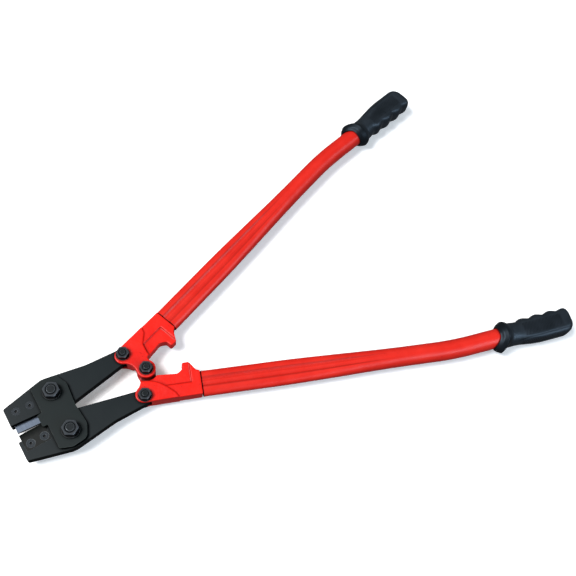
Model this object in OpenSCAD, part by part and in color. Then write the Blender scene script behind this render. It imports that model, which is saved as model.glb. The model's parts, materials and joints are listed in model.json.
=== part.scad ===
// Heavy-duty bolt cutters with a compound hinge: two jaws on a pair of fixture plates,
// two forked handle heads lapped on a centre bolt, tubular handles and moulded grips.
// Millimetres.  The tool lies flat, opened: +X runs from the jaws to the grips along
// the line of symmetry, +Z is up, and the origin is under the middle of the whole tool.

/* [Linkage] */
// Distance between the two jaw bolts
jaw_bolt_spacing = 65; // [62:0.5:72]
// Distance from the jaw bolt line back to the centre bolt, with the handles open
head_reach = 137; // [132:0.5:139]
// Distance in one jaw from its jaw bolt to its handle bolt
jaw_reach = 116.5; // [113:0.5:120]
// Distance in one handle head from its handle bolt to the centre bolt
link_length = 42.3; // [38:0.1:48]
// Angle in one handle head between its link and its tube
link_angle = 98.6; // [94:0.1:104]
// Angle between a tube and the line of symmetry when the stop lugs meet
closed_tube_angle = 3.2; // [2:0.1:5]
// Angle that each jaw turns between the open pose and the stop lugs meeting
jaw_close_angle = 2.35; // [2:0.05:2.6]

/* [Jaws] */
// Thickness of each jaw
jaw_thickness = 15.8; // [12:0.2:20]
// Distance from the jaw bolt line forward to the front of the jaws
nose_length = 72; // [66:1:90]
// Distance from the line of symmetry out to the jaw's front corner
nose_half_width = 42.5; // [40:0.5:50]
// Distance from a jaw bolt out to the jaw's shoulder
jaw_shoulder = 26.5; // [24:0.5:30]
// Radius of the round tail of a jaw
tail_r = 11; // [9:0.5:11.5]
// Distance from the line of symmetry to the jaws' edges at the crotch
crotch_half_gap = 5.4; // [4:0.1:8]
// Distance from the line of symmetry to the jaws' hidden inner edges
inner_half_gap = 2; // [1.6:0.1:4]

/* [Blades] */
// Length of a blade along its cutting edge
blade_length = 38; // [28:1:40]
// Distance from the jaws' front back to the blades
blade_inset = 5.5; // [4:0.5:10]
// Width of the upper blade, from cutting edge to back
upper_blade_width = 28.5; // [27:0.5:34]
// Width of the lower blade, from cutting edge to back
lower_blade_width = 40; // [36:0.5:42]
// Gap in height between the two shear faces
shear_gap = 0.2; // [0.1:0.05:0.4]
// Distance from the cutting edge to the jaw body that backs the other blade
edge_overhang = 12; // [9:0.5:15]
// Width of the bevel along a cutting edge
bevel_width = 5; // [3:0.5:8]
// Height that the bevel takes off
bevel_drop = 3.2; // [1:0.2:5]
// Distance from the upper blade's cutting edge to its screws
upper_screw_offset = 19.6; // [16:0.1:24]
// Distance from the lower blade's cutting edge to its screws
lower_screw_offset = 29.4; // [26:0.1:32]
// Distance between the two screws of a blade
screw_spacing = 21; // [16:0.5:22]
// Distance that the screws sit behind the middle of their blade
screw_shift = 1.3; // [-3:0.1:3]
// Diameter of a blade screw's countersunk head
screw_head_d = 12.5; // [10:0.5:14]
// Diameter of a blade screw's shank
screw_d = 6; // [5:0.5:8]

/* [Fixture plates] */
// Thickness of each fixture plate
plate_thickness = 6; // [4:0.5:8]
// Distance from the jaw bolt line forward to the plates' straight front edge
plate_front = 25.5; // [22:0.5:28]
// Half the width of the plates at the front edge
plate_half_width = 50; // [44:0.5:54]
// Radius of the plates' outline around a jaw bolt
plate_r = 23.5; // [20:0.5:26]
// Width of the tongue at the middle of the front edge
tongue_width = 20; // [14:1:26]
// Length of the tongue ahead of the front edge
tongue_length = 7.5; // [4:0.5:9]
// Gap in height between a plate and the jaws
plate_gap = 0.1; // [0.05:0.05:0.2]

/* [Fasteners] */
// Diameter of the jaw bolts
jaw_bolt_d = 14; // [12:0.5:16]
// Width across flats of the jaw bolts' heads and nuts
jaw_hex_af = 22; // [19:0.5:24]
// Diameter of the handle bolts and of the centre bolt
pivot_bolt_d = 10; // [8:0.5:11]
// Width across flats of the handle bolts' and centre bolt's heads and nuts
pivot_hex_af = 17; // [15:0.5:18]
// Radial running clearance of a bolt in its bores
running_clearance = 0.05; // [0.02:0.01:0.1]
// Radial clearance of the centre bolt in the lower handle head
open_pivot_clearance = 1; // [0.9:0.05:1.2]
// Radial overlap of a nut's thread with its bolt's thread
thread_overlap = 0.1; // [0.05:0.05:0.2]
// Play in height between the lower eye and the centre bolt's washer
centre_play = 0.1; // [0.05:0.05:0.3]
// Thickness of the washers on the jaw bolts
jaw_washer_t = 2.5; // [1.5:0.1:3]
// Thickness of the washers on the handle bolts and the centre bolt
pivot_washer_t = 1.5; // [1:0.1:2]

/* [Handle heads] */
// Thickness of a handle head's fork
fork_thickness = 26; // [24:0.5:32]
// Radius of the fork's round nose
fork_r = 12.4; // [11.9:0.1:14]
// Distance from a handle bolt forward to the middle of the fork's round nose
fork_lead = 1.8; // [0:0.1:3]
// Radius of the eye around the centre bolt
eye_r = 14.5; // [12.5:0.1:16]
// Radius of the hollow between the fork and the eye
neck_r = 20; // [16:0.5:26]
// Distance from the centre bolt along the tube to the end of the head
head_length = 79.8; // [74:0.5:95]
// Distance from the centre bolt across to the tube's axis
tube_offset = 32; // [31:0.5:38]
// Distance that a head's edges lie inside the tube's
head_inset = 1.8; // [0:0.1:3]
// Depth of the panel pressed into each face of a head
panel_depth = 2.2; // [1:0.1:3]
// Radius of the lap step around the centre bolt
lap_r = 18.5; // [17:0.5:20]
// Gap in height between the two lapped eyes
lap_gap = 0.2; // [0.1:0.05:0.4]
// Length of the tongue that a head puts into its tube
tang_length = 46; // [35:1:60]
// Radial clearance of a jaw's tail in its fork
slot_clearance = 2; // [1:0.1:3]

/* [Tubes] */
// Outside diameter of the round part of a tube
tube_d = 31.8; // [28:0.1:32]
// Wall of a tube
tube_wall = 2.5; // [2:0.1:3.5]
// Width of a tube where it is pressed flat
flat_width = 40.5; // [38:0.5:44]
// Height of a tube where it is pressed flat
flat_height = 22; // [20:0.5:24]
// Depth of the flute pressed into each face of a tube
flute_depth = 2.2; // [0:0.1:3]
// Length of tube that stays fully flat
flat_length = 110; // [60:5:140]
// Distance from the head at which a tube has become round
round_from = 340; // [250:5:360]
// Distance from the head to the middle of the bend
bend_at = 414; // [380:2:500]
// Angle of the bend towards the other handle
bend_angle = 7; // [5:0.5:9]
// Radius of the bend
bend_r = 560; // [400:20:700]
// Gap that shows between a head and its tube
seam_gap = 0.8; // [0.3:0.1:1.5]
// Diameter of the dowel that holds a tube on its head
dowel_d = 6; // [5:0.5:8]

/* [Grips] */
// Length of a grip
grip_length = 148; // [130:2:180]
// Distance from the middle of the bend to the mouth of the grip
grip_at = 69.5; // [55:0.5:90]
// Width of a grip's body across the palm
grip_width = 44.8; // [40:0.2:49]
// Height of a grip's body
grip_height = 36.8; // [36:0.2:42]
// Diameter of the collar at the mouth of the grip
collar_d = 49; // [44:0.5:49]
// Width of the neck behind the collar
neck_d = 39.2; // [38:0.2:42]
// Distance between two finger ridges
finger_pitch = 26.6; // [22:0.1:28]
// Height of the finger ridges
finger_depth = 3.4; // [0:0.2:5]
// Thickness of rubber at the closed end of a grip
grip_end_wall = 14; // [8:0.5:20]
// Length by which the mouth is hollowed on the grip's faces
mouth_hollow = 9; // [0:0.5:12]
// Length by which the mouth is cut back on the finger side
mouth_slant = 10.5; // [0:0.5:14]
// Diameter of the tube that the grip's outside sizes are given for
grip_fit_d = 31.8; // [28:0.1:40]

/* [Hidden] */

$fn = 64;

// Length by which a cut runs past the solid it goes through.
past = 1;
// Steps in one rounded corner of an outline.
corner_steps = 8;
// Half size of a square wider than any head.
wide = 90;

// --- Heights above the tool's middle plane ---
half_jaw = jaw_thickness / 2;
plate_z0 = half_jaw + plate_gap;
plate_z1 = plate_z0 + plate_thickness;
half_fork = fork_thickness / 2;
half_body = flat_height / 2;
grip_growth = (tube_d - grip_fit_d) / 2;
rest_height = collar_d / 2 + grip_growth;
jaw_head_h = rest_height - plate_z1 - jaw_washer_t;
jaw_nut_h = 10.5;
pivot_head_h = 6.5;
pivot_nut_h = 7.5;
thread_end = 1;

// --- Angles ---
// Turn of a handle beyond the open pose.
open_margin = 4.5;
// Angle by which a jaw's arm widens on its inner side.
arm_taper = 10;

// --- The linkage, solved for the open pose from the triangle of its three bolts ---
jaw_bolt = [-head_reach, jaw_bolt_spacing / 2];
diagonal = norm(jaw_bolt);
along = (jaw_reach * jaw_reach - link_length * link_length + diagonal * diagonal) / (2 * diagonal);
aside = sqrt(jaw_reach * jaw_reach - along * along);
to_centre = -jaw_bolt / diagonal;
handle_bolt = jaw_bolt + along * to_centre + aside * [-to_centre[1], to_centre[0]];
tube_angle = atan2(handle_bolt[1], handle_bolt[0]) - link_angle;

// --- Key points of a handle head, in its own frame: x along the tube, centre bolt at 0 ---
link_x = link_length * cos(link_angle);
link_y = link_length * sin(link_angle);
tube_start = head_length + seam_gap;
bend_tangent = bend_r * tan(bend_angle / 2);
bend_arc = bend_r * bend_angle * PI / 180;
round_r = tube_d / 2;
tube_run = bend_at - seam_gap - bend_tangent + bend_arc + grip_at - bend_tangent;
tube_length = tube_run + grip_length - grip_end_wall;
grip_start = tube_run;

// --- Placing the whole tool: origin under the middle of its bounding box ---
// How much further than its axis a turned grip's rounded end reaches.
grip_end_rise = 3.3;
grip_end_x = row_x_of(tube_run + grip_length) + grip_end_rise;
front_x = -head_reach - nose_length;
row_x = -(front_x + grip_end_x) / 2;

// Row x of the tube's axis at a distance along it.
function row_x_of(s) =
    let (p = path_point(s))
    p[0] * cos(tube_angle) - p[1] * sin(tube_angle);

// A point on an arc about a centre.
function arc_point(centre, r, angle) = centre + r * [cos(angle), sin(angle)];

// An arc about a centre, as points from one angle to another.
function arc(centre, r, from, to, steps = 12) =
    [for (i = [0:steps]) arc_point(centre, r, from + (to - from) * i / steps)];

// Direction of a vector, in degrees.
function heading(v) = atan2(v[1], v[0]);

// A vector brought to length 1.
function unit(v) = v / norm(v);

// One corner [x, y, radius] of an outline between its neighbours, rounded to an arc.
function rounded_corner(before, corner, after) =
    let (
        here = [corner[0], corner[1]],
        r = corner[2],
        back = unit([before[0], before[1]] - here),
        on = unit([after[0], after[1]] - here),
        half = acos(back * on) / 2,
        centre = here + unit(back + on) * r / sin(half),
        start = heading(here + back * r / tan(half) - centre),
        sweep_raw = heading(here + on * r / tan(half) - centre) - start,
        sweep = sweep_raw > 180 ? sweep_raw - 360 : sweep_raw < -180 ? sweep_raw + 360 : sweep_raw
    )
    r == 0 ? [here] : arc(centre, r, start, start + sweep, corner_steps);

// An outline of corners [x, y, radius], each rounded to its own radius.
function rounded_outline(corners) =
    let (n = len(corners))
    [for (i = [0:n - 1])
        each rounded_corner(corners[(i + n - 1) % n], corners[i], corners[(i + 1) % n])];

// The middle of an open run of corners, each rounded; its first and last points are left out.
function rounded_outline_open(corners) =
    [for (i = [1:len(corners) - 2])
        each rounded_corner(corners[i - 1], corners[i], corners[i + 1])];

// Put a piece where the tool lies: children are drawn about the centre bolt.
module placed() {
    translate([row_x, 0, rest_height])
        children();
}

// Draw children for side a (+1) or turn them over, end for end of Y and Z, for side b (-1).
module side(which) {
    if (which > 0) children();
    else rotate([180, 0, 0]) children();
}

// Draw children as they are for side a, or mirrored across the line of symmetry for side b.
module across(which) {
    if (which > 0) children();
    else mirror([0, 1, 0]) children();
}

// The frame of side a's handle: origin at the centre bolt, x along the tube.
module in_handle() {
    rotate([0, 0, tube_angle]) children();
}

// The frame in which side a's jaw is closed, so that its cutting edge lies on y = 0.
module in_closed_jaw() {
    translate([jaw_bolt[0], jaw_bolt[1], 0])
        rotate([0, 0, -jaw_close_angle])
            translate([-jaw_bolt[0], -jaw_bolt[1], 0])
                children();
}

// A slab of an outline between two heights.
module slab(z0, z1, points) {
    translate([0, 0, z0])
        linear_extrude(z1 - z0)
            polygon(points);
}

// A plain cylinder between two heights at a point.
module rod(at, r, z0, z1) {
    translate([at[0], at[1], z0])
        cylinder(h = z1 - z0, r = r);
}

// --- Fasteners ---

// Share of a hexagon's width across flats that its turned face keeps.
turned_share = 0.96;
// Outside of a washer as a share of the hexagon's width across flats.
washer_share = 1.23;

// A hexagon between two heights, its corners turned off on the free face.
module hexagon(af, z0, z1, free_on_top) {
    corner_r = af / 2 / cos(30);
    face_r = af / 2 * turned_share;
    fall = (corner_r + past - face_r) * tan(30);
    base = free_on_top ? z0 : z1;
    free = free_on_top ? z1 : z0;
    shoulder = free_on_top ? z1 - fall : z0 + fall;
    intersection() {
        translate([0, 0, z0])
            cylinder(h = z1 - z0, r = corner_r, $fn = 6);
        rotate_extrude()
            polygon([
                [0, base],
                [corner_r + past, base],
                [corner_r + past, shoulder],
                [face_r, free],
                [0, free]
            ]);
    }
}

// A bolt through the tool: its head below, its shank up to the turned end past the nut.
module bolt(d, af, head_low, head_high, shank_end) {
    turned = 1;
    hexagon(af, head_low, head_high, false);
    translate([0, 0, head_high]) cylinder(h = shank_end - head_high - turned, r = d / 2);
    translate([0, 0, shank_end - turned]) cylinder(h = turned, r1 = d / 2, r2 = d / 2 - turned);
}

// A nut between two heights, whose bore bites the bolt's thread.
module nut(d, af, z0, z1) {
    difference() {
        hexagon(af, z0, z1, true);
        translate([0, 0, z0 - past])
            cylinder(h = z1 - z0 + 2 * past, r = d / 2 - thread_overlap);
    }
}

// A washer between two heights, loose on its bolt.
module washer(d, outer_d, z0, t) {
    translate([0, 0, z0])
        difference() {
            cylinder(h = t, r = outer_d / 2);
            translate([0, 0, -past])
                cylinder(h = t + 2 * past, r = d / 2 + running_clearance);
        }
}

// --- Fixture plates and their bolts: the body that everything hangs on ---

// Outline of a fixture plate, front edge with its tongue and the two round ears.
module plate_outline() {
    x = jaw_bolt[0];
    y = jaw_bolt[1];
    front = x - plate_front;
    // Each corner is [x, y, radius]: the ear runs round the jaw bolt a little flatter than a circle.
    half = [
        [front - tongue_length, tongue_width / 2, 2.5],
        [front, tongue_width / 2, 1.5],
        [front, plate_half_width, 4],
        [x - plate_r / 3, y + plate_r + 0.6, plate_r / 2],
        [x + plate_r * 2 / 3, y + plate_r - 2, plate_r / 2],
        [x + plate_r + 1, y + 2, plate_r * 0.6],
        [x + plate_r - 2, 0, 20]
    ];
    mirrored = [for (i = [len(half) - 2:-1:0]) [half[i][0], -half[i][1], half[i][2]]];
    polygon(rounded_outline(concat(half, mirrored)));
}

// One fixture plate from a height up, bored for the jaw bolts.
module fixture_plate(z0) {
    difference() {
        translate([0, 0, z0])
            linear_extrude(plate_thickness)
                plate_outline();
        for (sign = [-1, 1])
            rod([jaw_bolt[0], sign * jaw_bolt[1]], jaw_bolt_d / 2 + running_clearance,
                z0 - past, z0 + plate_thickness + past);
    }
}

module fixture_plate_upper() {
    color([0.14, 0.16, 0.165])
        placed() fixture_plate(plate_z0);
}

module fixture_plate_lower() {
    color([0.14, 0.16, 0.165])
        placed() fixture_plate(-plate_z1);
}

// Draw children at both jaw bolts.
module at_jaw_bolts() {
    for (sign = [-1, 1])
        translate([jaw_bolt[0], sign * jaw_bolt[1], 0])
            children();
}

module jaw_bolts() {
    top = plate_z1 + jaw_washer_t + jaw_nut_h + thread_end;
    low = -plate_z1 - jaw_washer_t;
    color([0.17, 0.185, 0.2])
        placed()
            at_jaw_bolts()
                bolt(jaw_bolt_d, jaw_hex_af, low - jaw_head_h, low, top);
}

module jaw_nuts() {
    z0 = plate_z1 + jaw_washer_t;
    color([0.17, 0.185, 0.2])
        placed()
            at_jaw_bolts()
                nut(jaw_bolt_d, jaw_hex_af, z0, z0 + jaw_nut_h);
}

module jaw_washers() {
    outer = jaw_hex_af * washer_share;
    color([0.12, 0.135, 0.14])
        placed()
            at_jaw_bolts() {
                washer(jaw_bolt_d, outer, plate_z1, jaw_washer_t);
                washer(jaw_bolt_d, outer, -plate_z1 - jaw_washer_t, jaw_washer_t);
            }
}

// --- Jaws ---

blade_front = front_x + blade_inset;
blade_rear = blade_front + blade_length;
// Where the gap between the arms opens out, behind the jaw bolts, and its rounding.
crotch_back = 20;
crotch_r = 10;
// The arm's waist: how far behind the jaw bolts and below the shoulder it lies, and its curve.
waist_back = 62;
waist_drop = 10;
waist_r = 90;
// The shoulder's place ahead of the jaw bolt and its rounding, and that of the nose's corner.
shoulder_ahead = 6;
shoulder_r = 40;
nose_r = 3.5;
// Clearance of a blade in its seat.
seat_gap = 0.05;
// Extra depth of the notch that frees the other jaw's blade.
notch_extra = 2;

// Outline of side a's jaw in the open pose, seen from above.
module jaw_outline() {
    x = jaw_bolt[0];
    tail = handle_bolt;
    shoulder_y = jaw_bolt[1] + jaw_shoulder;
    crotch = [x + crotch_back, crotch_half_gap];
    waist = [x + waist_back, shoulder_y - waist_drop];
    // The nose's inner edge stays behind the blade's by a margin.
    seat_edge = edge_overhang + 1;
    inner_tangent = heading(tail - crotch) - asin(tail_r / norm(tail - crotch));
    outer_tangent = heading(tail - waist) + asin(tail_r / norm(tail - waist));
    tail_under = arc_point(tail, tail_r, inner_tangent - 90);
    tail_over = arc_point(tail, tail_r, outer_tangent + 90);
    polygon(concat(
        rounded_outline_open([
            [tail_over[0], tail_over[1], 0],
            [waist[0], waist[1], waist_r],
            [x - shoulder_ahead, shoulder_y, shoulder_r],
            [front_x, nose_half_width, nose_r],
            [front_x, seat_edge, nose_r / 2],
            [blade_rear, seat_edge, 0],
            [blade_rear, inner_half_gap, 0],
            [x + crotch_back / 5, inner_half_gap, crotch_r],
            [crotch[0], crotch[1], crotch_r],
            [tail_under[0], tail_under[1], 0]
        ]),
        arc(tail, tail_r, inner_tangent - 90, outer_tangent + 90)
    ));
}

// The nose seat that a blade fills, in the closed frame: half of the jaw's height.
module blade_seat(width, z0, z1) {
    translate([blade_front, -past, z0])
        cube([blade_length, width + past, z1 - z0]);
}

// Side a's jaw with a seat for a blade that lies between two heights.
module jaw(seat_width, seat_z0, seat_z1, other_z0, other_z1) {
    difference() {
        translate([0, 0, -half_jaw])
            linear_extrude(jaw_thickness)
                jaw_outline();
        in_closed_jaw() {
            blade_seat(seat_width, seat_z0, seat_z1);
            translate([front_x - past, -past - notch_extra, other_z0])
                cube([blade_rear - front_x + past, edge_overhang + past + notch_extra, other_z1 - other_z0]);
        }
        rod(jaw_bolt, jaw_bolt_d / 2 + running_clearance, -half_jaw - past, half_jaw + past);
        rod(handle_bolt, pivot_bolt_d / 2 + running_clearance, -half_jaw - past, half_jaw + past);
    }
}

// Places of a blade's two screws in the closed frame, at an offset from the cutting edge.
function screw_points(offset) =
    [for (sign = [-1, 1])
        [(blade_front + blade_rear + sign * screw_spacing) / 2 + screw_shift, offset]];

// Length of a blade screw and its play in its hole.
screw_length = jaw_thickness - 2;
screw_loose = 0.1;
// Height of a screw's socket floor above the bottom of its head, and the socket's share of the shank.
socket_floor = 0.6;
socket_share = 0.42;

// A countersunk socket screw with its head up at z = 0.
module blade_screw(length, grow) {
    head_h = (screw_head_d - screw_d) / 2;
    r = screw_d / 2 + grow;
    difference() {
        union() {
            translate([0, 0, -length])
                cylinder(h = length - head_h / 2, r = r);
            translate([0, 0, -head_h])
                cylinder(h = head_h, r1 = r, r2 = screw_head_d / 2 + grow);
        }
        if (grow <= 0)
            translate([0, 0, socket_floor - head_h])
                cylinder(h = head_h, r = socket_share * screw_d, $fn = 6);
    }
}

// The screw holes of side a's or side b's blade, cut from above.
module screw_holes(offset) {
    for (p = screw_points(offset))
        translate([p[0], p[1], half_jaw])
            blade_screw(screw_length + past, screw_loose);
}

// The jaw that carries the lower blade.
module jaw_a() {
    color([0.15, 0.17, 0.175])
        placed()
            difference() {
                jaw(lower_blade_width, -half_jaw - past, -shear_gap / 2, -shear_gap / 2, half_jaw + past);
                in_closed_jaw() screw_holes(lower_screw_offset);
            }
}

// The jaw that carries the upper blade.
module jaw_b() {
    color([0.15, 0.17, 0.175])
        placed()
            across(-1)
                difference() {
                    jaw(upper_blade_width, shear_gap / 2, half_jaw + past, -half_jaw - past, shear_gap / 2);
                    in_closed_jaw() screw_holes(upper_screw_offset);
                }
}

// Cross-section of a blade from its cutting edge out, shear face on z = 0.
module blade_section(width, thickness) {
    polygon([
        [0, 0],
        [width, 0],
        [width, thickness],
        [bevel_width, thickness],
        [0, thickness - bevel_drop]
    ]);
}

// A blade in the closed frame, shear face down at the given height or up when flipped.
module blade(width, shear_z, up) {
    thickness = half_jaw - shear_gap / 2;
    translate([blade_front + seat_gap, 0, shear_z])
        mirror([0, 0, up ? 0 : 1])
            rotate([90, 0, 90])
                linear_extrude(blade_length - 2 * seat_gap)
                    blade_section(width - seat_gap, thickness);
}

module blade_lower() {
    color([0.55, 0.6, 0.68])
        placed()
            in_closed_jaw()
                difference() {
                    blade(lower_blade_width, -shear_gap / 2, false);
                    screw_holes(lower_screw_offset);
                }
}

module blade_upper() {
    color([0.16, 0.175, 0.16])
        placed()
            across(-1)
                in_closed_jaw()
                    difference() {
                        blade(upper_blade_width, shear_gap / 2, true);
                        screw_holes(upper_screw_offset);
                    }
}

module blade_screws_a() {
    color([0.2, 0.21, 0.23])
        placed()
            in_closed_jaw()
                for (p = screw_points(lower_screw_offset))
                    translate([p[0], p[1], half_jaw]) blade_screw(screw_length, 0);
}

module blade_screws_b() {
    color([0.2, 0.21, 0.23])
        placed()
            across(-1)
                in_closed_jaw()
                    for (p = screw_points(upper_screw_offset))
                        translate([p[0], p[1], half_jaw]) blade_screw(screw_length, 0);
}

// --- Handle heads ---

// Angle at which the eye's circle ends.
eye_end = 385;
// Height of a head's inner edge between the eye and the lug.
head_waist_y = 13.2;
// The lug's near and far sides, along the head.
lug_near = head_length - 26;
lug_far = head_length - 15.5;
// Least gap between the tang and the tube's wall, and the tang's distance from the tube's round sides.
tang_gap = 0.6;
tang_side = 6;

// Outline of a handle head in its own frame, seen from above.
module head_outline() {
    nose = [link_x - fork_lead, link_y - fork_lead];
    nose_run = norm(nose);
    // The hollow touches the nose's circle and the eye's circle from outside.
    from_nose = neck_r + fork_r;
    from_eye = neck_r + eye_r;
    up = (from_eye * from_eye - from_nose * from_nose + nose_run * nose_run) / (2 * nose_run);
    out = sqrt(from_eye * from_eye - up * up);
    nose_dir = unit(nose);
    hollow = up * nose_dir + out * [-nose_dir[1], nose_dir[0]];
    hollow_top = heading(nose - hollow);
    hollow_low = heading(-hollow);
    outer_y = tube_offset + flat_width / 2 - head_inset;
    inner_y = tube_offset - flat_width / 2 + head_inset;
    eye_corner = arc_point([0, 0], eye_r, eye_end);
    // The lug reaches to the tool's middle line when the handles are closed.
    lug_drop = tan(closed_tube_angle);
    // Each corner of the run from the eye over the lug to the tube is [x, y, radius].
    polygon(concat(
        [[head_length, inner_y], [head_length, outer_y]],
        arc(nose, fork_r, 88, hollow_top + 180),
        arc(hollow, neck_r, hollow_top, hollow_low),
        arc([0, 0], eye_r, hollow_low + 180, eye_end, 20),
        rounded_outline_open([
            [eye_corner[0], eye_corner[1], 0],
            [eye_corner[0] + 1.6, head_waist_y - 1.8, 2],
            [lug_near - 8, head_waist_y, 8],
            [lug_near, 7, 5],
            [lug_near, -lug_near * lug_drop, 2.6],
            [lug_far, -lug_far * lug_drop, 2],
            [head_length - 6, inner_y - 3, 5],
            [head_length, inner_y, 0]
        ])
    ));
}

// The raised fork zone on the face that the eye is level with, up to the ridge behind the panel.
module fork_zone() {
    polygon([
        [-wide, -wide], [18, -wide], [20, 14], [26, 31], [41, 42], [49, 60], [49, wide], [-wide, wide]
    ]);
}

// The raised fork zone on the lapped face, where a curved ridge keeps it away from the eye.
module lapped_fork_zone() {
    polygon(rounded_outline([
        [-wide, 19, 0],
        [13, 19.5, 55],
        [39, 43, 20],
        [49, 60, 0],
        [49, wide, 0],
        [-wide, wide, 0]
    ]));
}

// The panel's far end and its top edge.
panel_far = head_length - 14.3;
panel_top = tube_offset - 1.6;

// The panel pressed into a head's face between the ridge, the tube end and the lug.
module panel_zone() {
    polygon(rounded_outline([
        [15, -20, 0],
        [panel_far, -20, 0],
        [panel_far, panel_top, 1.5],
        [26, panel_top, 3],
        [20.5, 17, 6]
    ]));
}

// The panel on the lapped face, which runs on to the eye along the curved ridge.
module lapped_panel_zone() {
    difference() {
        translate([-wide, -wide])
            square([panel_far + wide, panel_top + wide]);
        lapped_fork_zone();
    }
}

// The tang that enters the tube, a flat bar.
module tang() {
    half_w = flat_width / 2 - tube_wall - tang_side;
    half_h = half_body - tube_wall - flute_depth - tang_gap;
    translate([head_length - past, tube_offset - half_w, -half_h])
        cube([tang_length + past, 2 * half_w, 2 * half_h]);
}

// The slot in which the jaw's tail swings, from wide open to closed.
module fork_slot() {
    slot_r = tail_r + slot_clearance;
    slot_half = half_jaw + lap_gap;
    arm = heading(jaw_bolt - handle_bolt) - tube_angle;
    swing = tube_angle - closed_tube_angle + jaw_close_angle;
    // The arm widens towards the jaw, so the last cut is turned on by its taper.
    from = arm - open_margin;
    to = arm + swing + arm_taper;
    reach = 3 * fork_r;
    translate([link_x, link_y, -slot_half])
        linear_extrude(2 * slot_half)
            polygon(concat(
                arc([0, 0], slot_r, to + 90, from + 270, 24),
                [arc_point(arc_point([0, 0], slot_r, from - 90), reach, from)],
                [arc_point([0, 0], reach, (from + to) / 2)],
                [arc_point(arc_point([0, 0], slot_r, to + 90), reach, to)]
            ));
}

// Side a's handle head: eye above the middle plane, or all details turned over for side b.
module handle_head(centre_clearance) {
    dowel_x = head_length + tang_length / 2;
    difference() {
        union() {
            translate([0, 0, -half_body])
                linear_extrude(2 * half_body)
                    head_outline();
            intersection() {
                translate([0, 0, -half_fork])
                    linear_extrude(2 * half_fork)
                        head_outline();
                union() {
                    linear_extrude(half_fork) fork_zone();
                    translate([0, 0, -half_fork]) linear_extrude(half_fork) lapped_fork_zone();
                }
            }
            tang();
        }
        // Panels in both faces.
        translate([0, 0, half_body - panel_depth])
            linear_extrude(half_fork)
                difference() {
                    panel_zone();
                    circle(r = eye_r + 2);
                }
        translate([0, 0, panel_depth - half_body - half_fork])
            linear_extrude(half_fork)
                lapped_panel_zone();
        fork_slot();
        // Lap step: side a keeps the upper half of the eye.
        rod([0, 0], lap_r, -half_fork - past, lap_gap / 2);
        // Bores.
        rod([link_x, link_y], pivot_bolt_d / 2 + running_clearance, -half_fork - past, half_fork + past);
        rod([0, 0], pivot_bolt_d / 2 + centre_clearance, -half_fork - past, half_fork + past);
        rod([dowel_x, tube_offset], dowel_d / 2 - thread_overlap / 2, -half_fork, half_fork);
    }
}

module handle_head_a() {
    color([0.86, 0.1, 0.08])
        placed() in_handle() handle_head(running_clearance);
}

module handle_head_b() {
    color([0.86, 0.1, 0.08])
        placed() side(-1) in_handle() handle_head(open_pivot_clearance);
}

// A pivot bolt with its head underneath, which stands off the lower face by a play.
module pivot_bolt_part(play) {
    stand_off = half_fork + pivot_washer_t;
    bolt(pivot_bolt_d, pivot_hex_af, -stand_off - play - pivot_head_h, -stand_off - play,
        stand_off + pivot_nut_h + thread_end);
}

module pivot_nut_part() {
    z0 = half_fork + pivot_washer_t;
    nut(pivot_bolt_d, pivot_hex_af, z0, z0 + pivot_nut_h);
}

module pivot_washer_part(play) {
    outer = pivot_hex_af * washer_share;
    washer(pivot_bolt_d, outer, half_fork, pivot_washer_t);
    washer(pivot_bolt_d, outer, -half_fork - pivot_washer_t - play, pivot_washer_t);
}

// Draw children at side a's or side b's handle bolt.
module at_handle_bolt(which) {
    translate([handle_bolt[0], which * handle_bolt[1], 0])
        children();
}

module handle_bolt_a() {
    color([0.19, 0.205, 0.23]) placed() at_handle_bolt(1) pivot_bolt_part(0);
}

module handle_bolt_b() {
    color([0.19, 0.205, 0.23]) placed() at_handle_bolt(-1) pivot_bolt_part(0);
}

module handle_nut_a() {
    color([0.19, 0.205, 0.23]) placed() at_handle_bolt(1) pivot_nut_part();
}

module handle_nut_b() {
    color([0.19, 0.205, 0.23]) placed() at_handle_bolt(-1) pivot_nut_part();
}

module handle_washers_a() {
    color([0.3, 0.31, 0.33]) placed() at_handle_bolt(1) pivot_washer_part(0);
}

module handle_washers_b() {
    color([0.3, 0.31, 0.33]) placed() at_handle_bolt(-1) pivot_washer_part(0);
}

module centre_bolt() {
    color([0.19, 0.205, 0.23]) placed() pivot_bolt_part(centre_play);
}

module centre_nut() {
    color([0.19, 0.205, 0.23]) placed() pivot_nut_part();
}

module centre_washers() {
    color([0.3, 0.31, 0.33]) placed() pivot_washer_part(centre_play);
}

// --- Tubes and grips: sections carried along the tube's axis ---

section_sides = 24;
// Width of the flute as a share of the tube's half width.
flute_share = 0.35;

// The tube's axis in the handle's frame at a distance along it: [x, y, heading].
function path_point(s) =
    let (
        bend_from = bend_at - seam_gap - bend_tangent,
        turned = min(max((s - bend_from) / bend_r * 180 / PI, 0), bend_angle),
        straight = min(s, bend_from),
        after = max(s - bend_from - bend_arc, 0)
    )
    [
        tube_start + straight + bend_r * sin(turned) + after * cos(turned),
        tube_offset - bend_r * (1 - cos(turned)) - after * sin(turned),
        -turned
    ];

// A point beside the tube's axis: across is in the tool's plane, outwards, and up is in z.
function beside(s, across, up) =
    let (p = path_point(s))
    [p[0] - across * sin(p[2]), p[1] + across * cos(p[2]), up];

// How flat the tube is at a distance along it: 1 fully flat, 0 round.
function flatness(s) =
    let (u = min(max((s - flat_length) / (round_from - flat_length), 0), 1))
    1 - u * u * (3 - 2 * u);

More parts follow.
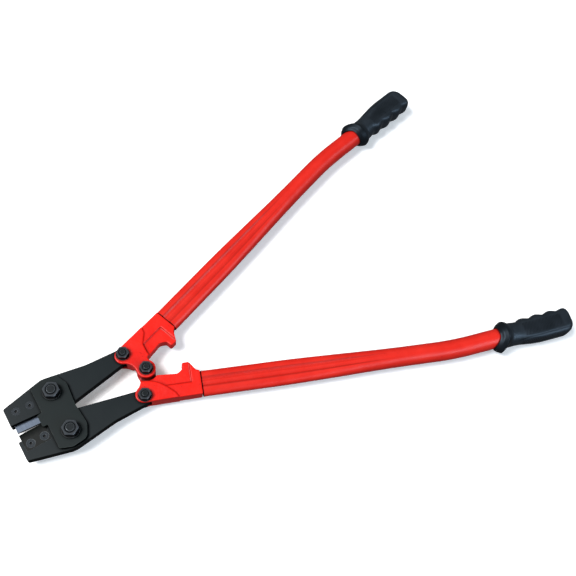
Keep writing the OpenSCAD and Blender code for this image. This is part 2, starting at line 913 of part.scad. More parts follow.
// One ring of the tube's surface, moved in by an inset.
function tube_ring(s, inset) =
    let (
        f = flatness(s),
        w = round_r + (flat_width / 2 - round_r) * f - inset,
        h = round_r + (flat_height / 2 - round_r) * f - inset,
        dent = flute_depth * f
    )
    [for (i = [0:section_sides - 1])
        let (a = 360 * i / section_sides, c = cos(a), squash = pow(abs(sin(a)), 1 - 0.3 * f))
        beside(s, w * c, sign(sin(a)) * (h * squash - dent * exp(-pow(c / flute_share, 2)) * abs(sin(a))))];

// Triangles between ring i and ring j of a stack of rings.
function band(i, j, n) =
    [for (k = [0:n - 1])
        let (a = i * n + k, b = i * n + (k + 1) % n, c = j * n + k, d = j * n + (k + 1) % n)
        each [[a, c, b], [b, c, d]]];

// A hollow tube: outer rings up, inner rings back, and the last joined to the first.
module closed_sleeve(rings) {
    m = len(rings);
    n = section_sides;
    polyhedron(
        points = [for (r = rings) each r],
        faces = [for (i = [0:m - 1]) each band(i, (i + 1) % m, n)]
    );
}

// A cup: rings from the bottom of its hollow, out over the mouth and back to its closed end.
module closed_cup(rings) {
    m = len(rings);
    n = section_sides;
    polyhedron(
        points = [for (r = rings) each r],
        faces = concat(
            [[for (k = [0:n - 1]) k]],
            [for (i = [0:m - 2]) each band(i, i + 1, n)],
            [[for (k = [n - 1:-1:0]) (m - 1) * n + k]]
        )
    );
}

// Distances along the tube at which its section is drawn.
function tube_stations() =
    let (bend_from = bend_at - seam_gap - bend_tangent)
    concat(
        [0],
        [for (i = [0:5]) flat_length + (round_from - flat_length) * i / 5],
        [for (i = [0:4]) bend_from + bend_arc * i / 4],
        [tube_length]
    );

module handle_tube() {
    stations = tube_stations();
    m = len(stations);
    difference() {
        closed_sleeve(concat(
            [for (i = [0:m - 1]) tube_ring(stations[i], 0)],
            [for (i = [m - 1:-1:0]) tube_ring(stations[i], tube_wall)]
        ));
        // Hole for the dowel, in the lower wall only.
        rod([head_length + tang_length / 2, tube_offset], dowel_d / 2 - thread_overlap / 2, -half_fork, 0);
    }
}

// The dowel through the tube's lower wall into the tang, flush with the flute's floor.
module tube_dowel() {
    low = -half_body + flute_depth + thread_overlap;
    high = half_body - tube_wall - flute_depth - tang_gap - thread_overlap;
    rod([head_length + tang_length / 2, tube_offset], dowel_d / 2, low, high);
}

module handle_tube_a() {
    color([0.88, 0.1, 0.08]) placed() in_handle() handle_tube();
}

module handle_tube_b() {
    color([0.88, 0.1, 0.08]) placed() side(-1) in_handle() mirror([0, 0, 1]) handle_tube();
}

module tube_dowel_a() {
    color([0.5, 0.5, 0.52]) placed() in_handle() tube_dowel();
}

module tube_dowel_b() {
    color([0.5, 0.5, 0.52]) placed() side(-1) in_handle() mirror([0, 0, 1]) tube_dowel();
}

// Smooth step from 0 to 1 between two places.
function ease(x, from, to) =
    let (u = min(max((x - from) / (to - from), 0), 1))
    u * u * (3 - 2 * u);

// The grip's stations, as distances from its mouth: where the neck ends and the body is full, the
// collar's crest and spread, the first finger ridge, and the run over which the mouth's cut fades.
neck_from = 34;
body_from = 80;
collar_crest = 11.5;
collar_spread = 9.5;
first_ridge = 57.5;
mouth_run = 44;
// Rounding of the grip's closed end.
grip_end_r = 16;
// Radius of the neck, and the share of it that is left at the mouth's lip.
neck_r_grip = neck_d / 2 + grip_growth;
lip_share = 0.9;
// Depth of the finger side below the neck before its ridges rise.
finger_sink = 2.4;

// How far the grip's rounded end has closed in at a distance along it: 1 is full size.
function end_round(g) =
    let (u = min(max((g - grip_length + grip_end_r) / grip_end_r, 0), 0.97))
    sqrt(1 - u * u);

// Length by which the mouth is cut back at an angle round the grip.
function mouth_cut(a) = mouth_hollow * pow(sin(a), 2) + mouth_slant * pow(max(-cos(a), 0), 2);

// Swell of the body behind the neck, from 0 to 1.
function body_swell(g) = ease(g, neck_from, body_from);

// Rise of the finger ridges at a distance along the grip.
function ridge(g) =
    finger_depth * (1 + cos(360 * (g - first_ridge) / finger_pitch)) / 2
        * ease(g, first_ridge - finger_pitch / 2, first_ridge) * ease(grip_length - g, 0, grip_end_r);

// One ring of the grip's outside.
function grip_ring(g) =
    let (
        closing = end_round(g),
        lip = 1 - (1 - lip_share) * (1 - ease(g, 0, mouth_run / 8)),
        collar = neck_r_grip * lip
            + (collar_d - neck_d) / 2 * exp(-pow((g - collar_crest) / collar_spread, 2)),
        ridge_top = neck_d / 2 - finger_sink + finger_depth,
        back = collar + (grip_width - ridge_top - neck_d / 2) * body_swell(g),
        fingers = collar - finger_sink * ease(g, neck_from, neck_from + 2 * grip_end_r),
        tall = (collar + (grip_height - neck_d) / 2 * body_swell(g)) * closing
    )
    [for (i = [0:section_sides - 1])
        let (
            a = 360 * i / section_sides,
            here = g + mouth_cut(a) * (1 - ease(g, 0, mouth_run)),
            across = cos(a) > 0 ? back : fingers + ridge(here)
        )
        beside(grip_start + here, across * closing * cos(a), tall * sin(a))];

// One ring of the grip's bore, a close fit over the tube, with a share of the mouth's cut.
function bore_ring(g, cut_share) =
    [for (i = [0:section_sides - 1])
        let (a = 360 * i / section_sides)
        beside(grip_start + g + mouth_cut(a) * cut_share, round_r * cos(a), round_r * sin(a))];

module grip() {
    body_end = grip_length - grip_end_r;
    ridge_steps = [for (g = [first_ridge - finger_pitch / 2:finger_pitch / 4:body_end - 1]) g];
    stations = concat(
        [0, mouth_run / 10, mouth_run / 5, collar_crest, 16, 22, 28, neck_from],
        ridge_steps,
        [for (share = [1, 0.62, 0.3, 0.12, 0.03]) grip_length - share * grip_end_r]
    );
    closed_cup(concat(
        [bore_ring(grip_length - grip_end_wall, 0), bore_ring(0, 1)],
        [for (g = stations) grip_ring(g)]
    ));
}

module grip_a() {
    color([0.11, 0.13, 0.16]) placed() in_handle() grip();
}

module grip_b() {
    color([0.11, 0.13, 0.16]) placed() side(-1) in_handle() mirror([0, 0, 1]) grip();
}

fixture_plate_upper();
fixture_plate_lower();
jaw_bolts();
jaw_nuts();
jaw_washers();
jaw_a();
jaw_b();
blade_lower();
blade_upper();
blade_screws_a();
blade_screws_b();
handle_head_a();
handle_head_b();
handle_bolt_a();
handle_bolt_b();
handle_nut_a();
handle_nut_b();
handle_washers_a();
handle_washers_b();
centre_bolt();
centre_nut();
centre_washers();
handle_tube_a();
handle_tube_b();
tube_dowel_a();
tube_dowel_b();
grip_a();
grip_b();
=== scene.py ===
"""Looks of a pair of bolt cutters: red painted heads and tubes, black jaws, moulded grips.

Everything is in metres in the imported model's own frame.  Tubes, grips and nuts are new
surfaces; heads, jaws, plates, blades and bolts are copies of the model's own pieces with
their edges rounded.
"""

import json
import math

import bmesh
import bpy
import numpy as np
from mathutils import Matrix, Vector


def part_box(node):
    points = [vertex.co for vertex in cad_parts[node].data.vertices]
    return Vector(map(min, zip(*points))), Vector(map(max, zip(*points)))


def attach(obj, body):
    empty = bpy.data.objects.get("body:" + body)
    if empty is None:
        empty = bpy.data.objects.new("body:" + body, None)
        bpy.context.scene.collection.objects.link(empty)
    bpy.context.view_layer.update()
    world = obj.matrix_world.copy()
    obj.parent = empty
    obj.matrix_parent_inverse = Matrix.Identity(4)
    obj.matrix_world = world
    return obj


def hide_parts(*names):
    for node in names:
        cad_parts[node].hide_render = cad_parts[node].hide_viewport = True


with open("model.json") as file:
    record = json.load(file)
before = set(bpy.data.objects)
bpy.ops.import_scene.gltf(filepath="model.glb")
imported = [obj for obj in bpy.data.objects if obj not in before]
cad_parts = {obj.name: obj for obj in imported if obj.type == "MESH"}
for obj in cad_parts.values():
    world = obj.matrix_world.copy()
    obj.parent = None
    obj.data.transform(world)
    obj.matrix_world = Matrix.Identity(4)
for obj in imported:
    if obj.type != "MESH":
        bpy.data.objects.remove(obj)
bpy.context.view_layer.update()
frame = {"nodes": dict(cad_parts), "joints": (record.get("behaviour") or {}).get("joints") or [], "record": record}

MM = 0.001
JOINTS = {joint["name"]: joint for joint in frame["joints"]}


def middle(node):
    """Middle of a node's box."""
    low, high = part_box(node)
    return (low + high) / 2


# --- Places, read from the frame ---
CENTRE = middle("centre_bolt")
MID_Z = middle("jaw_a").z
HANDLE_BOLT = Vector(JOINTS["handle_a_hinge"]["pos_m"])
JAW_BOLT = Vector(JOINTS["jaw_a_hinge"]["pos_m"])
LINK_ANGLE = math.radians(98.6)
LINK = HANDLE_BOLT - CENTRE
TUBE_ANGLE = math.atan2(LINK.y, LINK.x) - LINK_ANGLE

# --- Sizes of a handle, in metres along and across its tube ---
TUBE_START = 80.6 * MM  # from the centre bolt to the tube's mouth
TUBE_OFFSET = 32 * MM  # from the centre bolt out to the tube's axis
TUBE_R = 15.9 * MM
FLAT_HALF_WIDTH = 20.25 * MM  # of the part pressed flat
FLAT_HALF_HEIGHT = 11 * MM
FLAT_LENGTH = 110 * MM  # the flat part ends here and rounds off from here on
ROUND_FROM = 340 * MM
BEND_AT = 413.2 * MM
BEND_ANGLE = math.radians(7)
BEND_R = 560 * MM
BEND_TANGENT = BEND_R * math.tan(BEND_ANGLE / 2)
BEND_FROM = BEND_AT - BEND_TANGENT
BEND_ARC = BEND_R * BEND_ANGLE
GRIP_AT = 69.5 * MM  # from the bend's corner to the grip's mouth
GRIP_LENGTH = 148 * MM
END_WALL = 20 * MM  # solid grip beyond the end of the tube
GRIP_START = BEND_FROM + BEND_ARC + GRIP_AT - BEND_TANGENT
TUBE_LENGTH = GRIP_START + GRIP_LENGTH - END_WALL


# --- Meshes from arrays ---


def ease(x, low, high):
    """Smooth step: 0 below low, 1 above high, 3u^2 - 2u^3 between."""
    u = np.clip((x - low) / (high - low), 0, 1)
    return u * u * (3 - 2 * u)


def path_point(s):
    """Axis of side a's tube at distance s: a straight line, then an arc, then a straight line."""
    turned = np.clip((s - BEND_FROM) / BEND_R, 0, BEND_ANGLE)
    straight = np.minimum(s, BEND_FROM)
    after = np.maximum(s - BEND_FROM - BEND_ARC, 0)
    x = TUBE_START + straight + BEND_R * np.sin(turned) + after * np.cos(turned)
    y = TUBE_OFFSET - BEND_R * (1 - np.cos(turned)) - after * np.sin(turned)
    return x, y, -turned


def beside(s, across, up):
    """Points at distance s along the tube's axis, across from it (outwards) and up, turned to the
    handle's angle."""
    x, y, head = path_point(s)
    x = x - across * np.sin(head)
    y = y + across * np.cos(head)
    c, d = math.cos(TUBE_ANGLE), math.sin(TUBE_ANGLE)
    world_x = CENTRE.x + x * c - y * d
    world_y = CENTRE.y + x * d + y * c
    return np.stack(np.broadcast_arrays(world_x, world_y, MID_Z + up), axis=-1)


def grid_faces(rows, columns):
    """Quads of a grid whose columns close on themselves."""
    row, column = np.meshgrid(np.arange(rows - 1), np.arange(columns), indexing="ij")
    here = row * columns + column
    beside_it = row * columns + (column + 1) % columns
    return np.stack([here, here + columns, beside_it + columns, beside_it], axis=-1).reshape(-1, 4)


def make_piece(name, points, faces, smooth=True):
    """A mesh object at the origin from an array of points and a list of faces."""
    mesh = bpy.data.meshes.new(name)
    mesh.from_pydata(points.tolist(), [], faces)
    mesh.validate()
    piece = bpy.data.objects.new(name, mesh)
    bpy.context.scene.collection.objects.link(piece)
    if smooth:
        mesh.shade_smooth()
    else:
        mesh.shade_flat()
    return piece


def closed_grid(name, rings, mirrored):
    """A closed surface through stacked rings, with a point at each pole, the mean of the ring
    beside it; mirrored across y = 0 for side b."""
    rows, columns = rings.shape[:2]
    points = rings.reshape(-1, 3)
    poles = np.stack([rings[0].mean(axis=0), rings[-1].mean(axis=0)])
    points = np.concatenate([points, poles])
    first, last = rows * columns, rows * columns + 1
    ring = np.arange(columns)
    following = (ring + 1) % columns
    base = (rows - 1) * columns
    quads = grid_faces(rows, columns)
    start = np.stack([np.full(columns, first), ring, following], axis=-1)
    end = np.stack([np.full(columns, last), base + following, base + ring], axis=-1)
    if mirrored:
        points = points * np.array([1, -1, 1])
        quads, start, end = quads[:, ::-1], start[:, ::-1], end[:, ::-1]
    return make_piece(name, points, quads.tolist() + start.tolist() + end.tolist())


def store_relief(piece, relief):
    """Keep a number per point for painted shade: 0 in grooves and seams, 1 on the open surface.  The two
    poles get 1."""
    values = np.concatenate([np.asarray(relief, float).reshape(-1), np.ones(2)])
    attribute = piece.data.attributes.new("relief", "FLOAT", "POINT")
    attribute.data.foreach_set("value", values.astype(np.float32))


# --- Tubes ---

TUBE_COLUMNS = 128
FLUTED_ROWS, PLAIN_ROWS = 180, 60
FLUTED_UNTIL, PLAIN_FROM = 420 * MM, 422 * MM
SQUARENESS = 0.45  # how far the flat part's section goes from an ellipse towards a box
FLUTE_DEPTH = 3.4 * MM
# Places across the tube, as shares of its half width.
FLUTE_EDGE, FLUTE_SOFTNESS = 0.29, 0.07
CREASE_AT, CREASE_WIDTH = 0.3, 0.06
SWELL_WIDTH = 0.16
SWELL_HEIGHT = 0.4  # the flute's floor rises by this share of its depth
FLUTE_FADE, CREASE_FADE = 0.4, 0.3  # shares of the way to the round part
CREASE_SHADE = 0.35
SIDE_FADE = 3  # how fast the flute ends towards the section's sides
# The turned-in mouth, ring by ring: distance along the tube and how far inside its skin.
LIP_AT = np.array([8, 0.6, 0.02, 0.02, 0.2, 0.7, 1.0]) * MM
LIP_INSET = np.array([2.5, 2.5, 2.3, 0.5, 0.25, 0.04, 0]) * MM
LIP_END = 1.1 * MM


def tube_section(s, angle, inset=0.0):
    """Across and up of the tube's section at distance s: an ellipse that is squared and pressed
    flat near the head.  Across is its half width times a power of the angle's cosine, up its half
    height times the same power of the sine, less a flute that falls off as a hyperbolic tangent."""
    flat = 1 - ease(s, FLAT_LENGTH, ROUND_FROM)
    power = 2 / (2 + SQUARENESS * flat)
    c, z = np.cos(angle), np.sin(angle)
    width = TUBE_R + (FLAT_HALF_WIDTH - TUBE_R) * flat - inset
    height = TUBE_R + (FLAT_HALF_HEIGHT - TUBE_R) * flat - inset
    across = width * np.sign(c) * np.abs(c) ** power
    up = height * np.sign(z) * np.abs(z) ** power
    share = across / width
    groove = 0.5 - 0.5 * np.tanh((np.abs(share) - FLUTE_EDGE) / FLUTE_SOFTNESS)
    swell = SWELL_HEIGHT * np.exp(-((share / SWELL_WIDTH) ** 2))
    depth = FLUTE_DEPTH * ease(1 - s / ROUND_FROM, 0.0, FLUTE_FADE)
    up = up - np.sign(z) * depth * (groove - swell) * np.minimum(1, np.abs(z) * SIDE_FADE)
    return across, up


def handle_tube(name, mirrored):
    """Side a's or b's tube: sections carried along the axis, with the mouth turned in at the
    head."""
    s = np.concatenate([
        np.linspace(LIP_END, FLUTED_UNTIL, FLUTED_ROWS),
        np.linspace(PLAIN_FROM, TUBE_LENGTH, PLAIN_ROWS),
    ])
    angle = np.linspace(0, 2 * np.pi, TUBE_COLUMNS, endpoint=False)
    all_s = np.concatenate([LIP_AT, s])[:, None]
    inset = np.concatenate([LIP_INSET, np.zeros(len(s))])[:, None]
    across, up = tube_section(all_s, angle[None, :], inset)
    rings = beside(all_s, across, up)
    piece = closed_grid(name, rings, mirrored)
    # Painted shade: the creases are darkened and the turned-in mouth's rings are painted black, as shade in the
    # seam.
    share = np.cos(angle[None, :])
    crease = np.exp(-(((np.abs(share) - CREASE_AT) / CREASE_WIDTH) ** 2))
    crease = crease * ease(1 - all_s / ROUND_FROM, 0.0, CREASE_FADE)
    shade = 1 - CREASE_SHADE * crease
    shade[: len(LIP_AT) - 1] = 0
    store_relief(piece, shade)
    return piece


# --- Grips ---

GRIP_COLUMNS = 112
GRIP_ROWS = 420
FINGER_PITCH = 26.6 * MM
FIRST_RIDGE = 57.5 * MM
RIDGE_HEIGHT, RIDGE_FULLNESS = 3.4 * MM, 0.8
RIDGES_START, RIDGES_END = (44 * MM, 56 * MM), 14 * MM
LAST_RIDGE, LAST_RIDGE_LOSS = (118 * MM, 140 * MM), 0.35
BODY_START, BODY_SQUARENESS = (36 * MM, 78 * MM), 1.7
BODY_FLATTENING = 1.2 * MM
NECK_R = 19.6 * MM
MOUTH_TAPER, MOUTH_TAPER_LENGTH = 0.1, 6 * MM
COLLAR_HEIGHT, COLLAR_PEAK = 5.4 * MM, 11.5 * MM
COLLAR_FALL = (11 * MM, 26 * MM)
COLLAR_ON_BACK, COLLAR_ON_FACES = 0.15, 0.9
BACK_SWELL, BACK_START = 4.6 * MM, (34 * MM, 92 * MM)
FINGER_SINK, FINGER_START = 2.4 * MM, (34 * MM, 50 * MM)
END_R, END_R_CHANGE = 16, 6  # mm: the end's rounding, and how much it grows to the back
END_STOP = 0.985  # the rounding stops just short of a point
# Relief, pressed into the surface.
RIB_PITCH, RIB_SLANT, RIB_DEPTH, RIB_SHADE = 2.7 * MM, 0.35, 0.6 * MM, 0.75
PANEL_START, PANEL_END, PANEL_END_FADE = (50 * MM, 54 * MM), 126 * MM, 4 * MM
PANEL_MIDDLE, PANEL_SIDES = 2 * MM, (10 * MM, 11.5 * MM)
TOOTH_PITCH, TOOTH_DEPTH, TOOTH_SHADE = 3.2 * MM, 0.6 * MM, 0.8
TEETH_START, TEETH_END, TEETH_END_FADE = (42 * MM, 48 * MM), 142 * MM, 6 * MM
TEETH_NARROWNESS = 8
RIM_AT, RIM_WIDTH, RIM_DEPTH, RIM_SHADE = 16.8 * MM, 0.5 * MM, 0.5 * MM, 0.7
RIM_START, RIM_END = (34 * MM, 44 * MM), (2 * MM, 14 * MM)
MOUTH_SHADE, MOUTH_SHADE_END = 0.55, (20 * MM, 30 * MM)
# How far the mouth is cut back on the faces and the finger side, and drawn forward at the back.
CUT_FACES, CUT_FINGERS, CUT_BACK = 9 * MM, 10.5 * MM, 4 * MM
# The mouth's lining, ring by ring: distance inside the mouth and gap round the tube.
LINING_AT = np.array([[9], [1.2], [0.3]]) * MM
LINING_GAP = np.array([[0.15], [0.25], [1.0]]) * MM


def grip_section(g, cut, angle):
    """Across and up of a grip at distance g from its mouth, which is cut back by cut: collar, neck
    and a body that is flat on its faces, full at the back and ridged between the fingers.  Each is
    a smooth step along g added to the neck's radius, and the ridges are a cosine wave; the sum
    multiplies a power of the angle's cosine or sine, and the end closes as a quarter circle."""
    c, z = np.cos(angle), np.sin(angle)
    body = ease(g, *BODY_START)
    end_r = (END_R + END_R_CHANGE * c) * MM
    u = np.clip((g - GRIP_LENGTH + end_r) / end_r, 0, END_STOP)
    closing = np.sqrt(1 - u * u)
    neck = NECK_R * (1 - MOUTH_TAPER * (1 - ease(g - cut, 0, MOUTH_TAPER_LENGTH)))
    rise = np.clip((g - cut) / COLLAR_PEAK, 0, 1)
    collar = COLLAR_HEIGHT * rise * (1 - ease(g - cut, *COLLAR_FALL))
    power = 2 / (2 + BODY_SQUARENESS * body)
    back = neck + collar + BACK_SWELL * ease(g, *BACK_START)
    wave = 0.5 + 0.5 * np.cos(2 * np.pi * (g - FIRST_RIDGE) / FINGER_PITCH)
    ridges = RIDGE_HEIGHT * wave**RIDGE_FULLNESS * ease(g, *RIDGES_START)
    ridges = ridges * ease(GRIP_LENGTH - g, 0, RIDGES_END)
    ridges = ridges * (1 - LAST_RIDGE_LOSS * ease(g, *LAST_RIDGE))
    inner = neck + collar - FINGER_SINK * ease(g, *FINGER_START) + ridges
    back = back + COLLAR_ON_BACK * collar
    width = np.where(c > 0, back, inner)
    height = neck + COLLAR_ON_FACES * collar - BODY_FLATTENING * body
    across = width * closing * np.sign(c) * np.abs(c) ** power
    up = height * closing * np.sign(z) * np.abs(z) ** power
    return across, up


def grip_relief(g, angle, across, up):
    """The moulded relief, as a height below the surface, and its shade: slanted ribs on the faces
    and teeth on the back edge, both cosine waves along the grip, and a groove along the rim that is
    a bell curve across it."""
    c, z = np.cos(angle), np.sin(angle)
    on_faces, off_edge = np.abs(z) > 0.4, np.abs(z) > 0.2
    panel = ease(g, *PANEL_START) * ease(PANEL_END - g, 0, PANEL_END_FADE)
    panel = panel * (1 - ease(np.abs(across - PANEL_MIDDLE), *PANEL_SIDES)) * on_faces
    ribs = 0.5 - 0.5 * np.cos(2 * np.pi * (g + RIB_SLANT * across) / RIB_PITCH)
    back = ease(g, *TEETH_START) * ease(TEETH_END - g, 0, TEETH_END_FADE)
    back = back * np.clip(c, 0, 1) ** TEETH_NARROWNESS
    teeth = 0.5 - 0.5 * np.cos(2 * np.pi * g / TOOTH_PITCH)
    rim = np.exp(-(((across - RIM_AT) / RIM_WIDTH) ** 2)) * ease(g, *RIM_START)
    rim = rim * ease(GRIP_LENGTH - g, *RIM_END) * off_edge
    depth = RIB_DEPTH * ribs * panel + TOOTH_DEPTH * teeth * back + RIM_DEPTH * rim
    # The ribs, teeth and rim groove are darkened, and the collar by the mouth too: painted shade.
    dark = ribs * panel * RIB_SHADE + teeth * back * TOOTH_SHADE + rim * RIM_SHADE
    shade = 1 - np.clip(dark, 0, 1)
    shade = shade * (1 - MOUTH_SHADE * (1 - ease(g, *MOUTH_SHADE_END)))
    return -depth, shade


def hand_grip(name, mirrored):
    """Side a's or b's grip: sections carried along the axis from a mouth that is cut back on the
    faces, over the collar and the finger ridges to the rounded end."""
    angle = np.linspace(0, 2 * np.pi, GRIP_COLUMNS, endpoint=False)[None, :]
    t = np.linspace(0, 1, GRIP_ROWS)[:, None]
    cut_back = CUT_FACES * np.sin(angle) ** 2 + CUT_FINGERS * np.clip(-np.cos(angle), 0, 1) ** 2
    cut_back = cut_back - CUT_BACK * np.clip(np.cos(angle), 0, 1) ** 2
    g = cut_back * (1 - ease(t, 0, 0.3)) + t * GRIP_LENGTH
    across, up = grip_section(g, cut_back * (1 - ease(t, 0.15, 0.3)), angle)
    relief, shade = grip_relief(g, angle, across, up)
    length = np.sqrt(across**2 + up**2) + 1e-9
    across = across * (1 + relief / length)
    up = up * (1 + relief / length)
    inner_g = cut_back + LINING_AT
    inner_r = TUBE_R + LINING_GAP
    inner_across = inner_r * np.cos(angle)
    inner_up = inner_r * np.sin(angle)
    rings = np.concatenate([
        beside(GRIP_START + inner_g, inner_across, inner_up),
        beside(GRIP_START + g, across, up),
    ])
    piece = closed_grid(name, rings, mirrored)
    # The lining inside the mouth is painted black: painted shade.
    store_relief(piece, np.concatenate([np.zeros((len(LINING_AT), GRIP_COLUMNS)), shade]))
    return piece


# --- Nuts ---

NUT_COLUMNS = 144
TURNED_SHARE = 0.955  # the top's turned circle, as a share of the width across flats
NUT_SINK = 1.3 * MM
SOFT_EDGE = 0.12 * MM
HAIR = 0.0001 * MM  # keeps a ring off the edge beside it
# How far each ring of a nut is lightened, in the order of its rings: partly wear, partly a painted highlight on
# the chamfers and the countersink's edge.
NUT_WEAR_AND_GLINT = np.array([0, 0, 0, 0.55, 1.0, 0.45, 0.1, 1.0, 0.0, 0])


def nut_rings(at, z_low, z_high, flats, bore_r):
    """Rings of a hexagon nut: bore, bottom, sides, turned corners and a countersunk top.  The
    radius at an angle is half the width across flats over the cosine of the angle from the middle
    of the flat, and the top falls by 30 degrees outside the turned circle."""
    angle = np.linspace(0, 2 * np.pi, NUT_COLUMNS, endpoint=False)
    sector = (angle + np.pi / 6) % (np.pi / 3) - np.pi / 6
    hexagon = flats / 2 / np.cos(sector)
    face_r = flats / 2 * TURNED_SHARE
    fall = (hexagon - face_r) * math.tan(math.radians(30))
    one = np.ones(NUT_COLUMNS)
    rows = [
        (bore_r * one, z_low * one),
        (hexagon - SOFT_EDGE, z_low * one),
        (hexagon, (z_low + SOFT_EDGE) * one),
        (hexagon, z_high - fall - SOFT_EDGE),
        (hexagon - SOFT_EDGE, z_high - fall + HAIR),
        (face_r * one, z_high * one),
        ((bore_r + NUT_SINK + SOFT_EDGE) * one, z_high * one),
        ((bore_r + NUT_SINK) * one, (z_high - SOFT_EDGE) * one),
        (bore_r * one, (z_high - NUT_SINK) * one),
        (bore_r * one, z_low * one),
    ]
    return np.stack([
        np.stack([at.x + r * np.cos(angle), at.y + r * np.sin(angle), z], axis=-1)
        for r, z in rows
    ])


def nut_piece(name, places, z_low, z_high, flats, bore_r):
    """One mesh of like nuts at the given places."""
    parts = [nut_rings(at, z_low, z_high, flats, bore_r) for at in places]
    points, faces, base = [], [], 0
    for rings in parts:
        rows, columns = rings.shape[:2]
        points.append(rings.reshape(-1, 3))
        faces += (grid_faces(rows, columns)[:, ::-1] + base).tolist()
        base += rows * columns
    piece = make_piece(name, np.concatenate(points), faces)
    # Each ring's lightening: partly wear, partly painted highlight.
    wear = np.tile(np.repeat(NUT_WEAR_AND_GLINT, parts[0].shape[1]), len(parts))
    attribute = piece.data.attributes.new("wear", "FLOAT", "POINT")
    attribute.data.foreach_set("value", wear.astype(np.float32))
    merge_points(piece)
    sharpen(piece, 25)
    return piece


# --- Copies of the model's pieces with rounded edges ---


def merge_points(piece, distance=1e-6):
    """Join points that lie together."""
    work = bmesh.new()
    work.from_mesh(piece.data)
    bmesh.ops.remove_doubles(work, verts=work.verts, dist=distance)
    work.to_mesh(piece.data)
    work.free()


def sharpen(piece, degrees):
    """Smooth shading with edges sharper than an angle kept crisp."""
    piece.data.shade_smooth()
    piece.data.set_sharp_from_angle(angle=math.radians(degrees))


def merged_copy(name, node):
    """A copy of a node's mesh with its loose triangles joined and its flat faces dissolved."""
    mesh = frame["nodes"][node].data.copy()
    mesh.name = name
    mesh.materials.clear()
    piece = bpy.data.objects.new(name, mesh)
    bpy.context.scene.collection.objects.link(piece)
    work = bmesh.new()
    work.from_mesh(mesh)
    bmesh.ops.remove_doubles(work, verts=work.verts, dist=2e-6)
    bmesh.ops.dissolve_limit(
        work, angle_limit=math.radians(0.6), verts=work.verts, edges=work.edges,
        delimit={"NORMAL"},
    )
    work.to_mesh(mesh)
    work.free()
    if mesh.has_custom_normals:
        mesh.attributes.remove(mesh.attributes["custom_normal"])
    return piece


def bevelled(name, node, width, segments=2, angle=35):
    """A node's copy with its edges rounded to a width."""
    piece = merged_copy(name, node)
    bevel = piece.modifiers.new("edge_round", "BEVEL")
    bevel.width = width
    bevel.segments = segments
    bevel.limit_method = "ANGLE"
    bevel.angle_limit = math.radians(angle)
    bevel.harden_normals = False
    bevel.use_clamp_overlap = True
    bevel.material = 1
    sharpen(piece, 35)
    return piece


def cast(name, node, voxel, passes):
    """A node's copy as a casting: remeshed evenly and relaxed so that all its edges are soft."""
    piece = merged_copy(name, node)
    remesh = piece.modifiers.new("remesh", "REMESH")
    remesh.mode = "VOXEL"
    remesh.voxel_size = voxel
    relax = piece.modifiers.new("relax", "SMOOTH")
    relax.factor = 0.5
    relax.iterations = passes
    bpy.context.view_layer.update()
    evaluated = piece.evaluated_get(bpy.context.evaluated_depsgraph_get())
    mesh = bpy.data.meshes.new_from_object(evaluated)
    piece.modifiers.clear()
    piece.data = mesh
    mesh.name = name
    mesh.shade_smooth()
    return piece


# --- Materials ---


